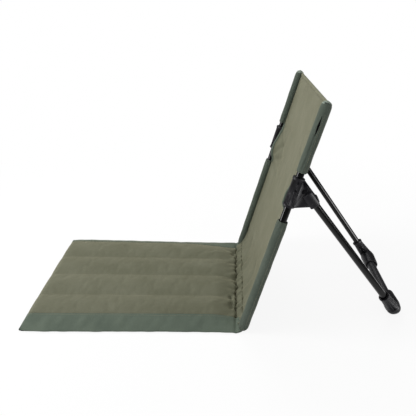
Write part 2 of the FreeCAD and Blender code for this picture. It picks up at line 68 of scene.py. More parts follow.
# %% Camera
IMAGE = 416
FOCAL_PIXELS = 482.0
YAW, PITCH, ROLL = (math.radians(a) for a in (3.64, 23.38, -1.23))

ahead = Vector((-math.cos(PITCH) * math.cos(YAW), -math.cos(PITCH) * math.sin(YAW), -math.sin(PITCH)))
level = Vector((-math.sin(YAW), math.cos(YAW), 0))
rise = level.cross(ahead)
right = level * math.cos(ROLL) + rise * math.sin(ROLL)
up = rise * math.cos(ROLL) - level * math.sin(ROLL)
bpy.ops.object.camera_add(location=(1.1483, 0.258, 0.720))
camera = bpy.context.object
camera.name = "photo_camera"
camera.rotation_mode = "QUATERNION"
camera.rotation_quaternion = Matrix((right, up, -ahead)).transposed().to_quaternion()
camera.data.sensor_width = 36
camera.data.lens = FOCAL_PIXELS / IMAGE * camera.data.sensor_width
scene.camera = camera
print("lens", round(camera.data.lens, 1), "mm")

# %% [markdown]
# ## Floor, world and lamps
# The photograph is a studio picture on white. The floor is a plain white sheet. To the camera it is partly
# its own light, so that it comes out white, and the rest of it is a matt surface that keeps the chair's
# soft shadow. A large soft lamp stands in front of the chair and above it, since the back is brighter than
# the seat, and a weaker one at the far side draws the bright lines along the quilted channels. Two panels,
# low in front and behind, stand where the poles and the legs mirror them as thin bright lines.

# %% Floor and world


def linear(hex_colour):
    """The linear numbers that a shader takes, from an sRGB hex colour."""
    parts = [int(hex_colour[start:start + 2], 16) / 255 for start in (1, 3, 5)]
    return [p / 12.92 if p <= 0.04045 else ((p + 0.055) / 1.055) ** 2.4 for p in parts] + [1.0]


def add(tree, kind, inputs=None, **settings):
    """Add one shader node. Each input is a value, or a (node, output) pair to link."""
    made = tree.nodes.new("ShaderNode" + kind)
    for name, value in settings.items():
        setattr(made, name, value)
    for socket, value in (inputs or {}).items():
        if isinstance(value, tuple) and isinstance(value[0], bpy.types.Node):
            tree.links.new(value[0].outputs[value[1]], made.inputs[socket])
        else:
            made.inputs[socket].default_value = value
    return made


def bare_material(name):
    """A material with its node tree emptied, ready to be drawn."""
    material = bpy.data.materials.new(name)
    material.use_nodes = True
    material.node_tree.nodes.clear()
    return material, material.node_tree


bpy.ops.mesh.primitive_plane_add(size=400, location=(0, 0.2, -0.0006))
floor = bpy.context.object
floor.name = "studio_floor"
bpy.ops.object.transform_apply(location=True, rotation=False, scale=False)
floor_paint, tree = bare_material("white studio paper")
path = add(tree, "LightPath")
seen = add(tree, "Math", {0: (path, "Is Camera Ray"), 1: (path, "Is Glossy Ray")}, operation="MAXIMUM")
shown = add(tree, "Math", {0: (seen, 0), 1: (path, "Is Transmission Ray")}, operation="MAXIMUM")
# within half a metre of the chair 0.9 of the floor is its own light, and 1.5 m away all of it is
where = add(tree, "TexCoord")
away = add(tree, "VectorMath", {0: (where, "Object"), 1: (0, 0.2, 0)}, operation="DISTANCE")
own = add(tree, "MapRange", {0: (away, "Value"), 1: 0.5, 2: 1.5, 3: 0.9, 4: 1.0},
          interpolation_type="SMOOTHSTEP")
share = add(tree, "Math", {0: (shown, 0), 1: (own, 0)}, operation="MULTIPLY")
matt = add(tree, "BsdfDiffuse", {"Color": linear("#f4f4f4")})
# what the tubes mirror of the floor gets dimmer away from the chair, as the lit paper ends there
unlit = add(tree, "MapRange", {0: (away, "Value"), 1: 0.55, 2: 0.9, 3: 0.0, 4: 0.85},
            interpolation_type="SMOOTHSTEP")
dimmer = add(tree, "Math", {0: (path, "Is Glossy Ray"), 1: (unlit, 0)}, operation="MULTIPLY")
bright = add(tree, "Math", {0: 1.0, 1: (dimmer, 0)}, operation="SUBTRACT")
glow = add(tree, "Emission", {"Color": linear("#ffffff"), "Strength": (bright, 0)})
both = add(tree, "MixShader", {0: (share, 0), 1: (matt, 0), 2: (glow, 0)})
add(tree, "OutputMaterial", {0: (both, 0)})
floor.data.materials.append(floor_paint)

scene.view_settings.view_transform = "Standard"
scene.world = bpy.data.worlds.new("white studio")
scene.world.use_nodes = True
tree = scene.world.node_tree
tree.nodes.clear()
path = add(tree, "LightPath")
seen = add(tree, "Math", {0: (path, "Is Camera Ray"), 1: (path, "Is Transmission Ray")},
           operation="MAXIMUM")
# glossy parts see a dimmer room, so that the lamps and the floor draw their highlights
level = add(tree, "Math", {0: (path, "Is Glossy Ray"), 1: -0.34, 2: 0.42}, operation="MULTIPLY_ADD")
soft = add(tree, "Background", {"Color": linear("#f4f4f4"), "Strength": (level, 0)})
white = add(tree, "Background", {"Color": linear("#ffffff"), "Strength": 1.0})
both = add(tree, "MixShader", {0: (seen, 0), 1: (soft, 0), 2: (white, 0)})
add(tree, "OutputWorld", {0: (both, 0)})
print("floor and world made")

# %% Lamps


def soft_lamp(name, place, target, width, height, power, gloss_only=False):
    """A soft box that looks at a target. A gloss_only one is mirrored by the tubes and lights no cloth."""
    bpy.ops.object.light_add(type="AREA", location=place)
    lamp = bpy.context.object
    lamp.name = name
    lamp.data.shape = "RECTANGLE"
    lamp.data.size = width
    lamp.data.size_y = height
    lamp.data.energy = power
    lamp.visible_diffuse = not gloss_only
    lamp.rotation_euler = (Vector(target) - Vector(place)).to_track_quat("-Z", "Y").to_euler()


soft_lamp("front_box", (0.4, -2.0, 1.5), (0, 0.25, 0.2), 1.3, 1.3, 42)
soft_lamp("top_box", (0.2, -0.8, 2.4), (0, 0.1, 0), 0.4, 0.4, 9)
soft_lamp("far_box", (-1.7, 0.1, 1.9), (0, 0.1, 0.1), 1.2, 1.2, 20)
soft_lamp("near_box", (1.9, 0.9, 1.6), (0, 0.3, 0.2), 1.0, 1.0, 3)
soft_lamp("pole_panel", (0.15, -1.3, 0.31), (0.2, 0.38, 0.3), 0.6, 0.6, 14, gloss_only=True)
soft_lamp("leg_panel", (1.4, 2.8, 0.75), (0, 0.5, 0.2), 2.2, 1.3, 110, gloss_only=True)
print("six lamps")

# %% [markdown]
# ## Cloths
# The mat and the sling are a plain-woven polyester with a soft coating: matt, with a faint sheen where the
# eye meets it at a low angle, and a slightly uneven dye. The real threads are about half a millimetre
# apart, too fine to show here, so they are drawn three times as coarse. Every cloth piece below is cut flat
# with a UV map in metres, and the weave reads that map, so that it follows the cloth over its folds.

# %% Woven cloth
THREAD = 0.0015


def woven_cloth(name, face, shade, bumpiness=0.5, sheen=0.25):
    """A plain weave: threads go over and under, and the dye is a little uneven."""
    material, tree = bare_material(name)
    where = add(tree, "TexCoord")
    threads = add(tree, "Mapping", {0: (where, "UV"), 3: [math.pi / THREAD] * 3})
    split = add(tree, "SeparateXYZ", {0: (threads, 0)})
    weft = add(tree, "Math", {0: (split, 0)}, operation="SINE")
    warp = add(tree, "Math", {0: (split, 1)}, operation="SINE")
    over = add(tree, "Math", {0: (weft, 0), 1: (warp, 0)}, operation="MULTIPLY")
    # uneven dye in patches of about 60 mm, and slubs: bands of thicker thread, 4 mm wide and 90 mm long
    patches = add(tree, "TexNoise", {0: (where, "Object"), "Scale": 1 / 0.06, "Detail": 3.0})
    along = add(tree, "Mapping", {0: (where, "UV"), 3: (1 / 0.004, 1 / 0.09, 1)})
    slubs = add(tree, "TexNoise", {0: (along, 0), "Scale": 1.0, "Detail": 2.0})
    # the slubs count a seventh as much as the patches
    uneven = add(tree, "Math", {0: (slubs, 0), 1: 0.14, 2: (patches, 0)}, operation="MULTIPLY_ADD")
    fine = add(tree, "Math", {0: (over, 0), 1: 0.05}, operation="MULTIPLY")
    depth = add(tree, "Math", {0: (uneven, 0), 1: (fine, 0)}, operation="ADD")
    amount = add(tree, "MapRange", {0: (depth, 0), 1: 0.35, 2: 0.85})
    dull = add(tree, "MapRange", {0: (depth, 0), 1: 0.35, 2: 0.85, 3: 0.96, 4: 0.8})
    colour = add(tree, "Mix", {0: (amount, 0), 6: linear(shade), 7: linear(face)}, data_type="RGBA")
    weave = add(tree, "Bump", {"Strength": 0.2, "Distance": 0.0004, "Height": (over, 0)})
    # small slack in the cloth, about 14 mm from hill to hill
    slack = add(tree, "TexNoise", {0: (where, "Object"), "Scale": 1 / 0.014, "Detail": 4.0})
    rumple = add(tree, "Bump", {"Strength": bumpiness, "Distance": 0.0015, "Height": (slack, 0),
                                "Normal": (weave, 0)})
    cloth = add(tree, "BsdfPrincipled",
                {"Base Color": (colour, 2), "Roughness": (dull, 0), "IOR": 1.5, "Specular IOR Level": 0.25,
                 "Sheen Weight": sheen, "Sheen Roughness": 0.4, "Sheen Tint": linear("#cfc8a8"),
                 "Normal": (rumple, 0)})
    add(tree, "OutputMaterial", {0: (cloth, 0)})
    return material


khaki = woven_cloth("khaki woven polyester", "#686957", "#5e5f4d", sheen=0.38)
green = woven_cloth("grey-green woven polyester", "#5a6558", "#505b50")
# the sleeves' green is the borders' cloth drawn darker, as painted shade
shaded_sleeve_green = woven_cloth("grey-green cloth darkened as painted shade", "#525b51", "#485148")
# a pale cloth for the strip over the sleeve tops: a painted highlight on their top fold
pale_highlight_green = woven_cloth("pale green cloth as painted highlight", "#8b968b", "#7f8a80")
tape_green = woven_cloth("dark green ribbed binding", "#46524a", "#3b463f", bumpiness=0.25, sheen=0.1)
under_cloth = woven_cloth("black coated underside cloth", "#2b2d2c", "#232524", bumpiness=0.3, sheen=0.05)
thread_material = woven_cloth("khaki sewing thread", "#85826c", "#77755f", bumpiness=0.1)
print("seven cloths")

# %% [markdown]
# ## Hard finishes
# The poles and legs are steel with a glossy black powder coat, which is smooth but for a faint orange
# peel, and shows long thin highlights. The cross bar is duller and greyer. The hubs, elbows and caps are
# moulded black nylon: satin, with a fine spark texture from the mould. The screws and rivets are blackened
# steel.

# %% Powder coat, nylon and steel


def hard_finish(name, face, shade, roughness, grain, lift, metal=0.0, specular=0.5):
    """A solid finish with a fine grain, in metres, that lifts the surface and varies the gloss."""
    material, tree = bare_material(name)
    where = add(tree, "TexCoord")
    spots = add(tree, "TexNoise", {0: (where, "Object"), "Scale": 1 / grain, "Detail": 3.0})
    broad = add(tree, "TexNoise", {0: (where, "Object"), "Scale": 1 / 0.05, "Detail": 2.0})
    colour = add(tree, "Mix", {0: (broad, 0), 6: linear(shade), 7: linear(face)}, data_type="RGBA")
    gloss = add(tree, "MapRange", {0: (broad, 0), 3: roughness * 0.85, 4: roughness * 1.15})
    texture = add(tree, "Bump", {"Strength": 0.25, "Distance": lift, "Height": (spots, 0)})
    solid = add(tree, "BsdfPrincipled",
                {"Base Color": (colour, 2), "Roughness": (gloss, 0), "Metallic": metal,
                 "Specular IOR Level": specular, "Normal": (texture, 0)})
    add(tree, "OutputMaterial", {0: (solid, 0)})
    return material


powder_coat = hard_finish("gloss black powder coat on steel", "#0b0b0c", "#070708", 0.18, 0.006, 0.00003,
                          specular=0.22)
satin_coat = hard_finish("satin grey-black coat on the cross bar", "#2d2d31", "#242427", 0.5, 0.002, 0.0001,
                         specular=0.3)
nylon = hard_finish("moulded black nylon", "#1f1e23", "#18171b", 0.46, 0.0015, 0.0003, specular=0.25)
dark_steel = hard_finish("blackened steel", "#2c2c2e", "#1d1d1f", 0.4, 0.001, 0.0001, metal=1.0)

FINISHES = {
    "back_pole": powder_coat, "leg_tube": powder_coat, "cross_bar": satin_coat,
    "hub_left": nylon, "hub_right": nylon, "elbow": nylon, "pole_foot_caps": nylon, "pole_top_caps": nylon,
    "leg_plug": nylon, "hub_screws": dark_steel, "pivot_rivet": dark_steel,
}
for node_name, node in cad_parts.items():
    for start, finish in FINISHES.items():
        if node_name.startswith(start):
            node.data.materials.clear()
            node.data.materials.append(finish)
print("finishes on", sum(n.startswith(tuple(FINISHES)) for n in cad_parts), "CAD nodes")

# %% [markdown]
# ## How cloth is cut, sewn and settled
# A real cover starts as flat cloth on a cutting table. So does each piece here: a flat grid with its size
# in metres, which is then rolled, bent or laid by moving its points. In the seat cover and the sling,
# Blender's cloth simulation lets the free cloth find its own folds between the sewn lines, which stay where
# they are. Last, Solidify gives the cloth its thickness and one subdivision smooths it.

# %% Cutting table


def only(piece):
    """Make one piece the only one selected, and the active one."""
    bpy.ops.object.select_all(action="DESELECT")
    piece.select_set(True)
    bpy.context.view_layer.objects.active = piece


def cut_cloth(name, width, length, columns, rows):
    """A flat piece of cloth, width along X and length along Y, with a UV map in metres."""
    bpy.ops.object.select_all(action="DESELECT")
    bpy.ops.mesh.primitive_grid_add(x_subdivisions=columns, y_subdivisions=rows, size=1, calc_uvs=True)
    piece = bpy.context.object
    piece.name = piece.data.name = name
    piece.scale = (width, length, 1)
    bpy.ops.object.transform_apply(location=False, rotation=False, scale=True)
    corners = piece.data.uv_layers.active.data
    flat = np.empty(len(corners) * 2, np.float32)
    corners.foreach_get("uv", flat)
    corners.foreach_set("uv", (flat.reshape(-1, 2) * (width, length)).astype(np.float32).ravel())
    return piece


def copy_of(piece, name):
    """A copy with its own mesh."""
    twin = piece.copy()
    twin.data = piece.data.copy()
    twin.name = twin.data.name = name
    scene.collection.objects.link(twin)
    return twin


def merge_points(reach, face_out=False):
    """Join the points of the active piece that lie closer than reach. face_out turns its faces outwards."""
    bpy.ops.object.mode_set(mode="EDIT")
    bpy.ops.mesh.select_all(action="SELECT")
    bpy.ops.mesh.remove_doubles(threshold=reach)
    if face_out:
        bpy.ops.mesh.normals_make_consistent(inside=False)
    bpy.ops.object.mode_set(mode="OBJECT")


def points(piece):
    """The points of a piece, one row each."""
    spots = np.empty(len(piece.data.vertices) * 3)
    piece.data.vertices.foreach_get("co", spots)
    return spots.reshape(-1, 3)


def move_to(piece, spots):
    """Move a piece's points to new places."""
    piece.data.vertices.foreach_set("co", np.asarray(spots, np.float32).ravel())
    piece.data.update()


# %% Sewing and settling
FRAMES = 20


def settle(piece, sewn, pressure, spare, cap):
    """Let the free cloth find its folds. spare is how much longer it is cut than the gap it fills."""
    before = points(piece)
    group = piece.vertex_groups.new(name="sewn")
    group.add([int(i) for i in np.flatnonzero(sewn)], 1.0, "REPLACE")
    cloth = piece.modifiers.new("cloth", "CLOTH")
    cloth.collision_settings.use_collision = False
    knit = cloth.settings
    knit.quality = 6
    knit.mass = 0.15
    knit.air_damping = 3
    knit.tension_stiffness = knit.compression_stiffness = 14
    knit.shear_stiffness = 6
    knit.bending_stiffness = 0.4
    knit.vertex_group_mass = "sewn"
    knit.use_pressure = pressure != 0
    knit.uniform_pressure_force = pressure
    knit.shrink_min = -spare
    knit.effector_weights.gravity = 0
    for step in range(1, FRAMES + 1):
        scene.frame_set(step)
    only(piece)
    bpy.ops.object.modifier_apply(modifier=cloth.name)
    moved = points(piece) - before
    far = np.linalg.norm(moved, axis=1)
    move_to(piece, before + moved * np.minimum(1, cap / np.maximum(far, 1e-9))[:, None])
    scene.frame_set(1)
    print(piece.name, "settled by up to", round(1000 * min(cap, far.max()), 1), "mm")


def finish_cloth(piece, cloth, thickness):
    """Give a piece its cloth and its thickness, half to each side, and smooth it."""
    piece.data.materials.append(cloth)
    only(piece)
    wall = piece.modifiers.new("thickness", "SOLIDIFY")
    wall.thickness = thickness
    wall.offset = 0.0
    bpy.ops.object.modifier_apply(modifier=wall.name)
    smooth = piece.modifiers.new("smooth", "SUBSURF")
    smooth.levels = smooth.render_levels = 1
    bpy.ops.object.modifier_apply(modifier=smooth.name)
    bpy.ops.object.shade_smooth()


def ease(low, high, value):
    """0 below low, 1 above high, and a smooth rise between."""
    share = np.clip((value - low) / (high - low), 0, 1)
    return share * share * (3 - 2 * share)


def fold_line(a, b, start, end, width, lift):
    """A soft fold on a flat cloth at (a, b): highest along its line, faded at both ends."""
    run = np.array(end) - np.array(start)
    length = np.hypot(*run)
    along = ((a - start[0]) * run[0] + (b - start[1]) * run[1]) / length
    across = ((b - start[1]) * run[0] - (a - start[0]) * run[1]) / length
    fade = ease(-0.25 * length, 0.3 * length, along) * ease(-0.25 * length, 0.3 * length, length - along)
    return lift * np.exp(-(across / width) ** 2) * fade


# %% [markdown]
# ## The quilted seat
# The seat is a foam mat about 20 mm thick in a khaki cover. Three sewn lines run from front to back and
# divide it into four shallow channels. The cover is cut as one cloth, sewn down along those lines, and the
# air in the foam presses it up between them. Towards the crease the foam ends, so the cover comes down
# and is gathered there, which gives the small crumpled folds of the photograph.

# %% Seat cover
SEAT_FRONT, SEAT_REAR = -0.2655, 0.2600
PAD_NEAR, PAD_FAR = 0.177, 0.196
SEAMS = (-PAD_FAR, -0.097, 0.0, 0.097, PAD_NEAR)
SEAM_HEIGHT, CROWN, RIM_HEIGHT = 0.0170, 0.0222, 0.004
# the front rolls over in this length, the foam thins out in this length, and the sewn end is this long
FRONT_ROLL, REAR_SLOPE, SEWN_END = 0.020, 0.062, 0.005
# the far side of the quilt runs in towards the crease by this much
FAR_TAPER = 0.012
# the mat's outer edge, and how much wider its front lies at the near and the far side, and askew
EDGE_X, EDGE_TOP = 0.2255, 0.0042
NEAR_WIDER, FAR_WIDER, ASKEW = 0.009, 0.013, 0.0065


def seat_height(x, y):
    """The top of the mat's foam: crowned channels that end at the front roll and at the rear slope."""
    crown = np.zeros_like(x)
    for left, right_seam in zip(SEAMS, SEAMS[1:]):
        middle, half = (left + right_seam) / 2, (right_seam - left) / 2
        crown = np.maximum(crown, np.clip(1 - ((x - middle) / half) ** 2, 0, 1))
    height = SEAM_HEIGHT + (CROWN - SEAM_HEIGHT) * crown ** 0.7
    # the far side is flatter, most of all at its rear corner
    height = height * (1 - (0.12 + 0.3 * ease(0.11, 0.25, y)) * ease(-0.12, -0.19, x))
    front = np.sqrt(np.clip(1 - (1 - np.clip((y - SEAT_FRONT) / FRONT_ROLL, 0, 1)) ** 2, 0, 1))
    rear = 0.52 + 0.48 * ease(0.0, REAR_SLOPE, SEAT_REAR - y)
    end = np.sqrt(np.clip(1 - (1 - np.clip((SEAT_REAR - y) / SEWN_END, 0, 1)) ** 2, 0, 1))
    return RIM_HEIGHT + (height - RIM_HEIGHT) * (0.1 + 0.9 * front) * rear * (0.15 + 0.85 * end)


def waves(along, *lengths):
    """Uneven waves along a line: sines of several lengths, in metres, that don't repeat together."""
    return sum(np.sin(2 * np.pi * along / length + 9.1 * order) for order, length in enumerate(lengths))


seat = cut_cloth("seat_quilt", PAD_NEAR + PAD_FAR, SEAT_REAR - SEAT_FRONT, 94, 130)
spots = points(seat)
x = spots[:, 0] + (PAD_NEAR - PAD_FAR) / 2
y = spots[:, 1] + (SEAT_FRONT + SEAT_REAR) / 2
near_crease = ease(0.04, 0.002, SEAT_REAR - y)
height = seat_height(x, y) + 0.0013 * waves(x + 0.2 * y, 0.071, 0.043, 0.027) * near_crease
# the sewn end is drawn in unevenly, so that dark gaps open along it
y = y - 0.0014 * (1.2 + waves(x, 0.061, 0.037, 0.023)) * ease(0.012, 0.0, SEAT_REAR - y)
# pits and soft folds: from, to, half width and lift, as the cover is gathered towards the crease
FOLDS = (((0.088, 0.246), (0.104, 0.244), 0.004, -0.009), ((0.116, 0.250), (0.132, 0.247), 0.0045, -0.008),
         ((0.135, 0.252), (0.150, 0.243), 0.004, -0.005), ((-0.165, 0.252), (-0.13, 0.250), 0.005, -0.008),
         ((-0.02, 0.254), (0.03, 0.253), 0.004, -0.003), ((0.052, 0.254), (0.07, 0.250), 0.003, -0.003),
         ((0.03, 0.24), (0.05, 0.2), 0.007, 0.0012), ((0.11, 0.235), (0.135, 0.19), 0.008, 0.0014),
         ((-0.14, 0.23), (-0.12, 0.16), 0.008, 0.0011), ((-0.07, 0.235), (-0.05, 0.19), 0.007, 0.0012),
         ((0.02, -0.12), (0.08, -0.02), 0.010, 0.0006), ((-0.15, -0.06), (-0.1, 0.05), 0.010, 0.0008),
         ((0.11, 0.03), (0.16, 0.11), 0.010, 0.0008), ((-0.1, 0.0), (-0.07, 0.05), 0.008, 0.0012),
         ((0.11, -0.17), (0.16, -0.07), 0.010, 0.0006))
for start, end, width, lift in FOLDS:
    height = height + fold_line(x, y, start, end, width, lift)
drawn_in = x + FAR_TAPER * ease(0.09, 0.25, y) * ease(-0.10, -PAD_FAR, x)
move_to(seat, np.column_stack((drawn_in, y, height)))
on_seam = np.min([np.abs(x - s) for s in SEAMS], axis=0) < 0.0022
on_end = np.abs(spots[:, 1]) > (SEAT_REAR - SEAT_FRONT) / 2 - 0.001
settle(seat, on_seam | on_end, pressure=1.2, spare=0.004, cap=0.004)
print("seat cover", len(seat.data.vertices), "points")

# %% [markdown]
# The cover is only the top of the pad. Its rim is extruded down to the base cloth and filled, so that the
# pad is a closed, stuffed form, flat only where it lies.

# %% Close the pad
BASE_TOP = 0.001


def close_below(piece, floor_height):
    """Extrude a sheet's rim down to one height and fill the underside."""
    only(piece)
    bpy.ops.object.mode_set(mode="EDIT")
    bpy.ops.mesh.select_mode(type="EDGE")
    bpy.ops.mesh.select_all(action="DESELECT")
    bpy.ops.mesh.select_non_manifold()
    bpy.ops.mesh.extrude_edges_move()
    bpy.ops.object.mode_set(mode="OBJECT")
    chosen = np.array([v.select for v in piece.data.vertices])
    spots = points(piece)
    spots[chosen, 2] = floor_height
    move_to(piece, spots)
    bpy.ops.object.mode_set(mode="EDIT")
    bpy.ops.mesh.edge_face_add()
    bpy.ops.mesh.select_all(action="SELECT")
    bpy.ops.mesh.normals_make_consistent(inside=False)
    bpy.ops.object.mode_set(mode="OBJECT")


def widen_front(piece):
    """Spread a piece of the mat towards the front, where the mat lies wider and a little askew."""
    spots = points(piece)
    reach = np.where(spots[:, 0] > 0, NEAR_WIDER, FAR_WIDER) * np.abs(spots[:, 0]) / EDGE_X
    spots[:, 0] += np.sign(spots[:, 0]) * reach * ease(0.2, SEAT_FRONT, spots[:, 1])
    spots[:, 1] += (ASKEW * spots[:, 0] / EDGE_X - 0.001) * ease(0.05, SEAT_FRONT, spots[:, 1])
    move_to(piece, spots)


close_below(seat, BASE_TOP)
widen_front(seat)
seat.data.materials.append(khaki)
only(seat)
bpy.ops.object.shade_smooth()
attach(seat, "seat")
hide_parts("seat_top_cover", "seat_foam_1", "seat_foam_2", "seat_foam_3", "seat_foam_4")
print("pad closed:", len(seat.data.polygons), "faces")

# %% [markdown]
# ## Seat borders
# A grey-green cloth covers each side of the mat. It slopes from the quilt down to a thin edge on the
# ground, and its hem is turned under. At the rear it is folded in against the foot of the pole sleeve.

# %% Borders
BORDER_REAR = 0.2745
# this share of a border's width slopes to the ground, and the rest is its hem, turned under
SLOPE_SHARE = 0.86


def seat_border(name, inner_x, steep):
    """A border on the left: a cloth from the quilt's side to the ground, with its hem under it."""
    width = EDGE_X - inner_x + 0.0095
    border = cut_cloth(name, width, BORDER_REAR - SEAT_FRONT, 18, 134)
    spots = points(border)
    across = spots[:, 0] / width + 0.5
    y = spots[:, 1] + (SEAT_FRONT + BORDER_REAR) / 2
    pad_x = PAD_NEAR
    inner_edge = np.full_like(y, inner_x)
    if inner_x == PAD_FAR:
        pad_x = -PAD_FAR
        inner_edge = inner_x - FAR_TAPER * ease(0.09, 0.25, y)
    inner = seat_height(np.full_like(y, pad_x), np.minimum(y, SEAT_REAR - 0.006)) + 0.0006
    rear = ease(0.0, 0.04, BORDER_REAR - y)
    slope = np.clip(across / SLOPE_SHARE, 0, 1)
    edge = EDGE_X + 0.0004 * waves(y, 0.11, 0.067, 0.043)
    edge = edge - 0.003 * ease(0.02, 0.0, y - SEAT_FRONT) - 0.006 * ease(0.010, 0.0, BORDER_REAR - y) ** 2
    edge_top = EDGE_TOP + 0.004 * ease(0.02, 0.0, BORDER_REAR - y)
    x = inner_edge - 0.001 + (edge - inner_edge + 0.001) * slope
    fall = 1 - (1 - slope) ** steep
    z = inner + (np.minimum(edge_top, inner) - inner) * fall + 0.0016 * np.sin(np.pi * slope) * rear
    z = z + 0.0004 * waves(y + 0.3 * x, 0.071, 0.047, 0.031) * np.sin(np.pi * slope)
    z = z + 0.0009 * waves(x + 0.1 * y, 0.017, 0.011) * ease(0.03, 0.008, BORDER_REAR - y) * (1 - slope)
    # a groove where the border is folded in at the crease
    z = z - 0.006 * np.exp(-((y - 0.2585) / 0.003) ** 2) * (1 - 0.6 * slope)
    tuck = np.clip((across - SLOPE_SHARE) / (1 - SLOPE_SHARE), 0, 1)
    x = x + 0.0018 * np.sin(np.pi * tuck) - 0.002 * tuck
    z = z - (np.minimum(edge_top, inner) - 0.0011) * tuck
    move_to(border, np.column_stack((x, y, z)))
    return border


def to_the_right(piece):
    """Mirror a left piece to the right side."""
    piece.data.transform(Matrix.Scale(-1, 4, (1, 0, 0)))
    piece.data.flip_normals()


def other_side(piece, name):
    """A copy with its own mesh, mirrored to the right side."""
    twin = copy_of(piece, name)
    to_the_right(twin)
    return twin


border_left = seat_border("seat_border_cloth_left", PAD_NEAR, steep=1.25)
border_right = seat_border("seat_border_cloth_right", PAD_FAR, steep=1.3)
to_the_right(border_right)
for border, node_name, inner_x in ((border_left, "seat_border_left", PAD_NEAR),
                                   (border_right, "seat_border_right", PAD_FAR)):
    widen_front(border)
    finish_cloth(border, green, 0.0012)
    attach(border, "seat")
    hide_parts(node_name)
print("two borders")

# %% [markdown]
# ## Underside and front binding
# The mat's underside is one black coated cloth. A narrow dark tape is folded over the front edge and holds
# the cover and the underside together.

# %% Underside cloth
under = cut_cloth("seat_underside", 0.448, 0.530, 56, 66)
spots = points(under)
lift = 0.0004 * (1 + np.sin(spots[:, 0] * 70) * np.sin(spots[:, 1] * 55 + 0.6))
rim = ease(0.012, 0.0, np.minimum(0.224 - np.abs(spots[:, 0]), 0.265 - np.abs(spots[:, 1])))
move_to(under, np.column_stack((spots[:, 0], spots[:, 1], 0.0004 + lift * (1 - rim))))
widen_front(under)
finish_cloth(under, under_cloth, 0.0006)
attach(under, "seat")
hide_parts("seat_base_sheet")

# %% Front binding
binding = cut_cloth("front_edge_tape", 0.446, 0.0105, 112, 8)
spots = points(binding)
turn = (spots[:, 1] / 0.0105 + 0.5) * np.pi
x = spots[:, 0]
droop = ease(PAD_NEAR - 0.01, EDGE_X - 0.004, np.abs(x))
tall = 0.0030 - 0.0006 * droop + 0.0003 * np.sin(x * 90)
y = SEAT_FRONT + 0.0012 - 0.0028 * np.sin(turn) + 0.0005 * np.sin(x * 60)
z = 0.0008 + tall * (1 - np.cos(turn)) * 0.9
move_to(binding, np.column_stack((x, y, z)))
widen_front(binding)
finish_cloth(binding, tape_green, 0.0010)
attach(binding, "seat")
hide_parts("seat_front_binding")
print("underside and front tape")

# %% [markdown]
# ## The sling
# The back is one khaki cloth between the poles. Its sides are sewn into the pole sleeves, except at the two
# hubs, where each edge is cut in and bound with tape. It hangs back a little between the poles, and at the
# foot it sweeps forward to the crease. It is made upright, with x across, y behind the poles and z up
# along them, and leaned back at the end.

# %% Sling
LEAN = math.radians(16.5)
FOOT = Vector((0, 0.275, 0.0088977))
POLE_X = 0.214
SLING_TOP, SLING_HALF = 0.5495, 0.2045
# the cut-in at the hub, from and to along the pole, its depth, and the width of the tape that binds it
NOTCH, NOTCH_DEPTH, TAPE_WIDTH = (0.289, 0.403), 0.0135, 0.0085


def lean_back(piece):
    """Turn an upright piece to the lean of the back, about the feet of the poles."""
    piece.data.transform(Matrix.Translation(FOOT) @ Matrix.Rotation(-LEAN, 4, "X"))


def notch_share(s):
    """1 in the cut-in of the sling's edge at the hub, 0 above and below it."""
    return ease(NOTCH[0] - 0.002, NOTCH[0] + 0.016, s) * ease(NOTCH[1] + 0.002, NOTCH[1] - 0.016, s)


def sling_depth(x, s):
    """How far the sling hangs behind the poles."""
    edge = np.interp(s, (0.0, 0.012, 0.03, 0.05, 0.6), (-0.006, -0.0005, 0.003, 0.005, 0.005))
    sag = np.interp(s, (0.0, 0.012, 0.03, 0.052, 0.12, 0.35, 0.48, 0.55),
                    (0, 0.0015, 0.005, 0.0075, 0.0105, 0.008, 0.0035, 0))
    return edge + sag * (1 - (x / SLING_HALF) ** 2)


sling = cut_cloth("back_sling", 2 * SLING_HALF, SLING_TOP, 90, 122)
spots = points(sling)
s = spots[:, 1] + SLING_TOP / 2
x = spots[:, 0] / SLING_HALF * (SLING_HALF - NOTCH_DEPTH * notch_share(s))
depth = sling_depth(x, s)
# beside the hubs the loose edge stands forward, most at the foot of the cut-in
stand = np.interp(s, (0.289, 0.300, 0.320, 0.345, 0.395, 0.403), (0, 0.004, 0.013, 0.0115, 0.004, 0.0))
depth = depth - stand * (0.7 * ease(0.115, 0.185, np.abs(x)) ** 1.5 + 0.5 * ease(0.176, 0.191, np.abs(x)))
depth = depth + 0.0011 * waves(x + 0.1 * s, 0.097, 0.061, 0.041) * ease(0.07, 0.005, s)
# folds as for the seat: at both hubs, at the foot, and long faint ones in the upper half
HUB_FOLDS = (((0.185, 0.300), (0.10, 0.335), 0.007, 0.0035), ((0.185, 0.312), (0.12, 0.375), 0.007, 0.0028),
             ((0.188, 0.295), (0.09, 0.285), 0.008, 0.003), ((0.188, 0.392), (0.12, 0.345), 0.007, 0.0028),
             ((0.188, 0.398), (0.09, 0.415), 0.008, 0.0025), ((0.19, 0.345), (0.14, 0.342), 0.012, -0.002))
FOOT_FOLDS = (((0.165, 0.025), (0.13, 0.11), 0.010, 0.0035), ((0.06, 0.02), (0.03, 0.09), 0.011, 0.003),
              ((-0.09, 0.02), (-0.12, 0.085), 0.011, 0.003))
LONG_FOLDS = ((-0.15, 0.02), (-0.11, -0.01), (-0.06, 0.015), (-0.02, -0.02), (0.05, 0.01), (0.1, -0.015))
for side in (-1, 1):
    for start, end, width, lift in HUB_FOLDS:
        depth = depth + fold_line(side * x, s, start, end, width, lift)
for start, end, width, lift in FOOT_FOLDS:
    depth = depth + fold_line(x, s, start, end, width, lift)
for place, tilt in LONG_FOLDS:
    depth = depth + fold_line(x, s, (place, 0.24), (place + tilt, 0.52), 0.012, 0.0004)
move_to(sling, np.column_stack((x, depth, s)))
at_side = (np.abs(spots[:, 0]) > SLING_HALF - 0.001) & (notch_share(s) < 0.02)
at_end = (s < 0.001) | (s > SLING_TOP - 0.001)
settle(sling, at_side | at_end, pressure=0.0, spare=0.0, cap=0.006)
print("sling", len(sling.data.vertices), "points")

